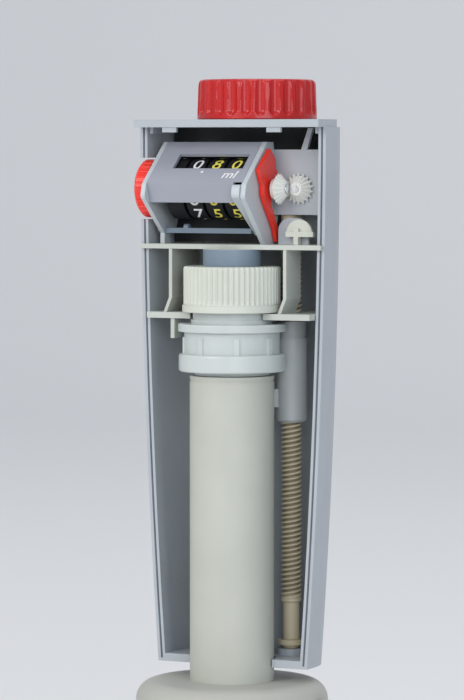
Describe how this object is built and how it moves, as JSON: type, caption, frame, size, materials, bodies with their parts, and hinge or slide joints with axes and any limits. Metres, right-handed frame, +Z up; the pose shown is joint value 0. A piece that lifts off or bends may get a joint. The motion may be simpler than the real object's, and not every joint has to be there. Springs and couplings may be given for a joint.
{
  "type": "bottle top dispenser",
  "caption": "Bottle top dispenser with the front shell off: piston pump with digital volume setting, valve block with spout, and screw collar for a bottle.",
  "frame": {"origin": "centre of the collar's lower rim, on the pump axis", "axes": "+Z up along the pump axis, -Y towards the operator, +X to the operator's right"},
  "size_m": [0.0657, 0.0989, 0.2443],
  "materials": {
    "housing_grey": "light grey moulded plastic",
    "chassis_cream": "off-white moulded plastic",
    "block_grey": "warm grey moulded plastic",
    "sleeve_grey": "warm light grey plastic",
    "natural_white": "milky natural plastic",
    "nut_cream": "cream moulded plastic",
    "signal_red": "glossy red plastic",
    "counter_lilac": "grey-lilac plastic",
    "counter_white": "light grey plastic",
    "digit_black": "black plastic with printed digits",
    "thread_beige": "beige plastic",
    "column_grey": "grey plastic",
    "steel": "steel shaft",
    "seal": "elastomer",
    "glass": "clear glass",
    "spout_clear": "translucent plastic"
  },
  "bodies": {
    "collar": {"bottle_collar": "block_grey"},
    "block": {"valve_block": "block_grey", "bottle_gasket": "seal", "inlet_valve": "natural_white", "barrel": "glass", "barrel_seal": "seal", "cylinder_sleeve": "sleeve_grey", "outlet_valve": "natural_white", "spout_nut": "spout_clear", "spout_tube": "spout_clear", "vent_plug": "block_grey"},
    "inlet_ball": {"inlet_ball": "glass"},
    "outlet_ball": {"outlet_ball": "glass"},
    "spout_cap": {"spout_cap": "signal_red"},
    "carriage": {"piston_head": "natural_white", "clamp_nut": "nut_cream", "piston_rod": "natural_white", "piston": "natural_white", "piston_ring": "seal", "rear_housing": "housing_grey", "top_plate": "housing_grey", "cap_pivot": "housing_grey", "chassis": "chassis_cream", "gear_bracket": "housing_grey", "key_plate": "housing_grey", "key": "nut_cream", "counter_cover": "counter_lilac", "counter_side_left": "counter_white", "counter_side_right": "counter_white", "counter_hook": "counter_white", "counter_flag": "signal_red", "counter_bar": "counter_white", "counter_pin": "counter_white"},
    "top_cap": {"top_cap": "signal_red"},
    "setting": {"thumbwheel": "signal_red", "counter_shaft": "steel", "bevel_gear_a": "nut_cream", "hundredths_wheel": "digit_black"},
    "tenths": {"tenths_wheel": "digit_black"},
    "units": {"units_wheel": "digit_black"},
    "tens": {"tens_wheel": "digit_black"},
    "drive": {"bevel_gear_b": "nut_cream", "drive_shaft": "steel", "screw_gear_driver": "nut_cream"},
    "spindle": {"spindle": "thread_beige", "screw_gear_driven": "nut_cream", "spindle_clip": "thread_beige"},
    "stop_nut": {"stop_nut": "column_grey"}
  },
  "joints": [
    {"name": "block_turn", "type": "hinge", "parent": "collar", "child": "block", "pos_m": [0, 0, 0.0203], "axis": [0, 0, 1], "continuous": true},
    {"name": "pump_stroke", "type": "slide", "parent": "block", "child": "carriage", "axis": [0, 0, 1], "range_m": [0, 0.06]},
    {"name": "inlet_ball_lift", "type": "slide", "parent": "block", "child": "inlet_ball", "axis": [0, 0, 1], "range_m": [0, 0.0015]},
    {"name": "outlet_ball_lift", "type": "slide", "parent": "block", "child": "outlet_ball", "axis": [0, 0, 1], "range_m": [0, 0.001]},
    {"name": "spout_cap_turn", "type": "hinge", "parent": "block", "child": "spout_cap", "pos_m": [0, -0.062, 0.0053], "axis": [0, 0, 1], "continuous": true},
    {"name": "top_cap_turn", "type": "hinge", "parent": "carriage", "child": "top_cap", "pos_m": [0.0023, 0.0138, 0.2317], "axis": [0, 0, 1], "continuous": true},
    {"name": "thumbwheel_turn", "type": "hinge", "parent": "carriage", "child": "setting", "pos_m": [0.0185, 0.005, 0.21], "axis": [1, 0, 0], "range_deg": [-576, 6624]},
    {"name": "tenths_turn", "type": "hinge", "parent": "carriage", "child": "tenths", "pos_m": [0.0185, 0.005, 0.21], "axis": [1, 0, 0], "continuous": true},
    {"name": "units_turn", "type": "hinge", "parent": "carriage", "child": "units", "pos_m": [0.0185, 0.005, 0.21], "axis": [1, 0, 0], "continuous": true},
    {"name": "tens_turn", "type": "hinge", "parent": "carriage", "child": "tens", "pos_m": [0.0185, 0.005, 0.21], "axis": [1, 0, 0], "continuous": true},
    {"name": "drive_turn", "type": "hinge", "parent": "carriage", "child": "drive", "pos_m": [0.0185, 0.005, 0.21], "axis": [0, 1, 0], "continuous": true},
    {"name": "spindle_turn", "type": "hinge", "parent": "carriage", "child": "spindle", "pos_m": [0.0137, 0.015, 0.21], "axis": [0, 0, 1], "continuous": true},
    {"name": "stop_nut_travel", "type": "slide", "parent": "carriage", "child": "stop_nut", "axis": [0, 0, -1], "range_m": [-0.0048, 0.0552]}
  ],
  "couplings": [
    {"joint": "tenths_turn", "follows": "thumbwheel_turn", "ratio": 0.5},
    {"joint": "units_turn", "follows": "thumbwheel_turn", "ratio": 0.05},
    {"joint": "tens_turn", "follows": "thumbwheel_turn", "ratio": 0.005},
    {"joint": "drive_turn", "follows": "thumbwheel_turn", "ratio": 1},
    {"joint": "spindle_turn", "follows": "thumbwheel_turn", "ratio": 1},
    {"joint": "stop_nut_travel", "follows": "thumbwheel_turn", "m_per_rad": 0.00047746}
  ]
}
